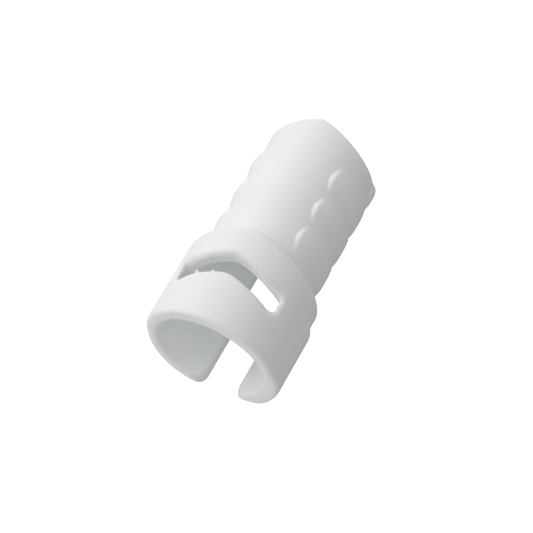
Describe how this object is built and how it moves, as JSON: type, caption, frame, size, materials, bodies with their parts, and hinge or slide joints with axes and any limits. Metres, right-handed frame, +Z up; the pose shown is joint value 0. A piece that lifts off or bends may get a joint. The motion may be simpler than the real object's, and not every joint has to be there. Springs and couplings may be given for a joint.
{
  "type": "slotted cable boot",
  "caption": "Soft plastic sleeve open along its underside, with a wide collar, a cross window, two flexing jaws and a narrower tail with grip pads.",
  "frame": {"origin": "on the resting plane, under the middle of the sleeve's length and width", "axes": "+Y along the sleeve from the mouth to the tail, +Z up to the crown, away from the slit; +X is the right flank"},
  "size_m": [0.015, 0.0262, 0.0139],
  "materials": {
    "plastic": "fine satin, moulded white"
  },
  "bodies": {
    "crown": {"tail_crown": "plastic", "collar_crown": "plastic", "mouth_crown": "plastic"},
    "left_half": {"left_tail_flank": "plastic", "left_collar_side": "plastic", "left_jaw": "plastic"},
    "right_half": {"right_tail_flank": "plastic", "right_collar_side": "plastic", "right_jaw": "plastic"}
  },
  "joints": [
    {"name": "left_opens", "type": "hinge", "parent": "crown", "child": "left_half", "pos_m": [-0.0015, 0, 0.0127], "axis": [0, 1, 0], "range_deg": [0, 7], "stiffness_Nm_per_rad": 0.05},
    {"name": "right_opens", "type": "hinge", "parent": "crown", "child": "right_half", "pos_m": [0.0015, 0, 0.0127], "axis": [0, -1, 0], "range_deg": [0, 7], "stiffness_Nm_per_rad": 0.05}
  ]
}
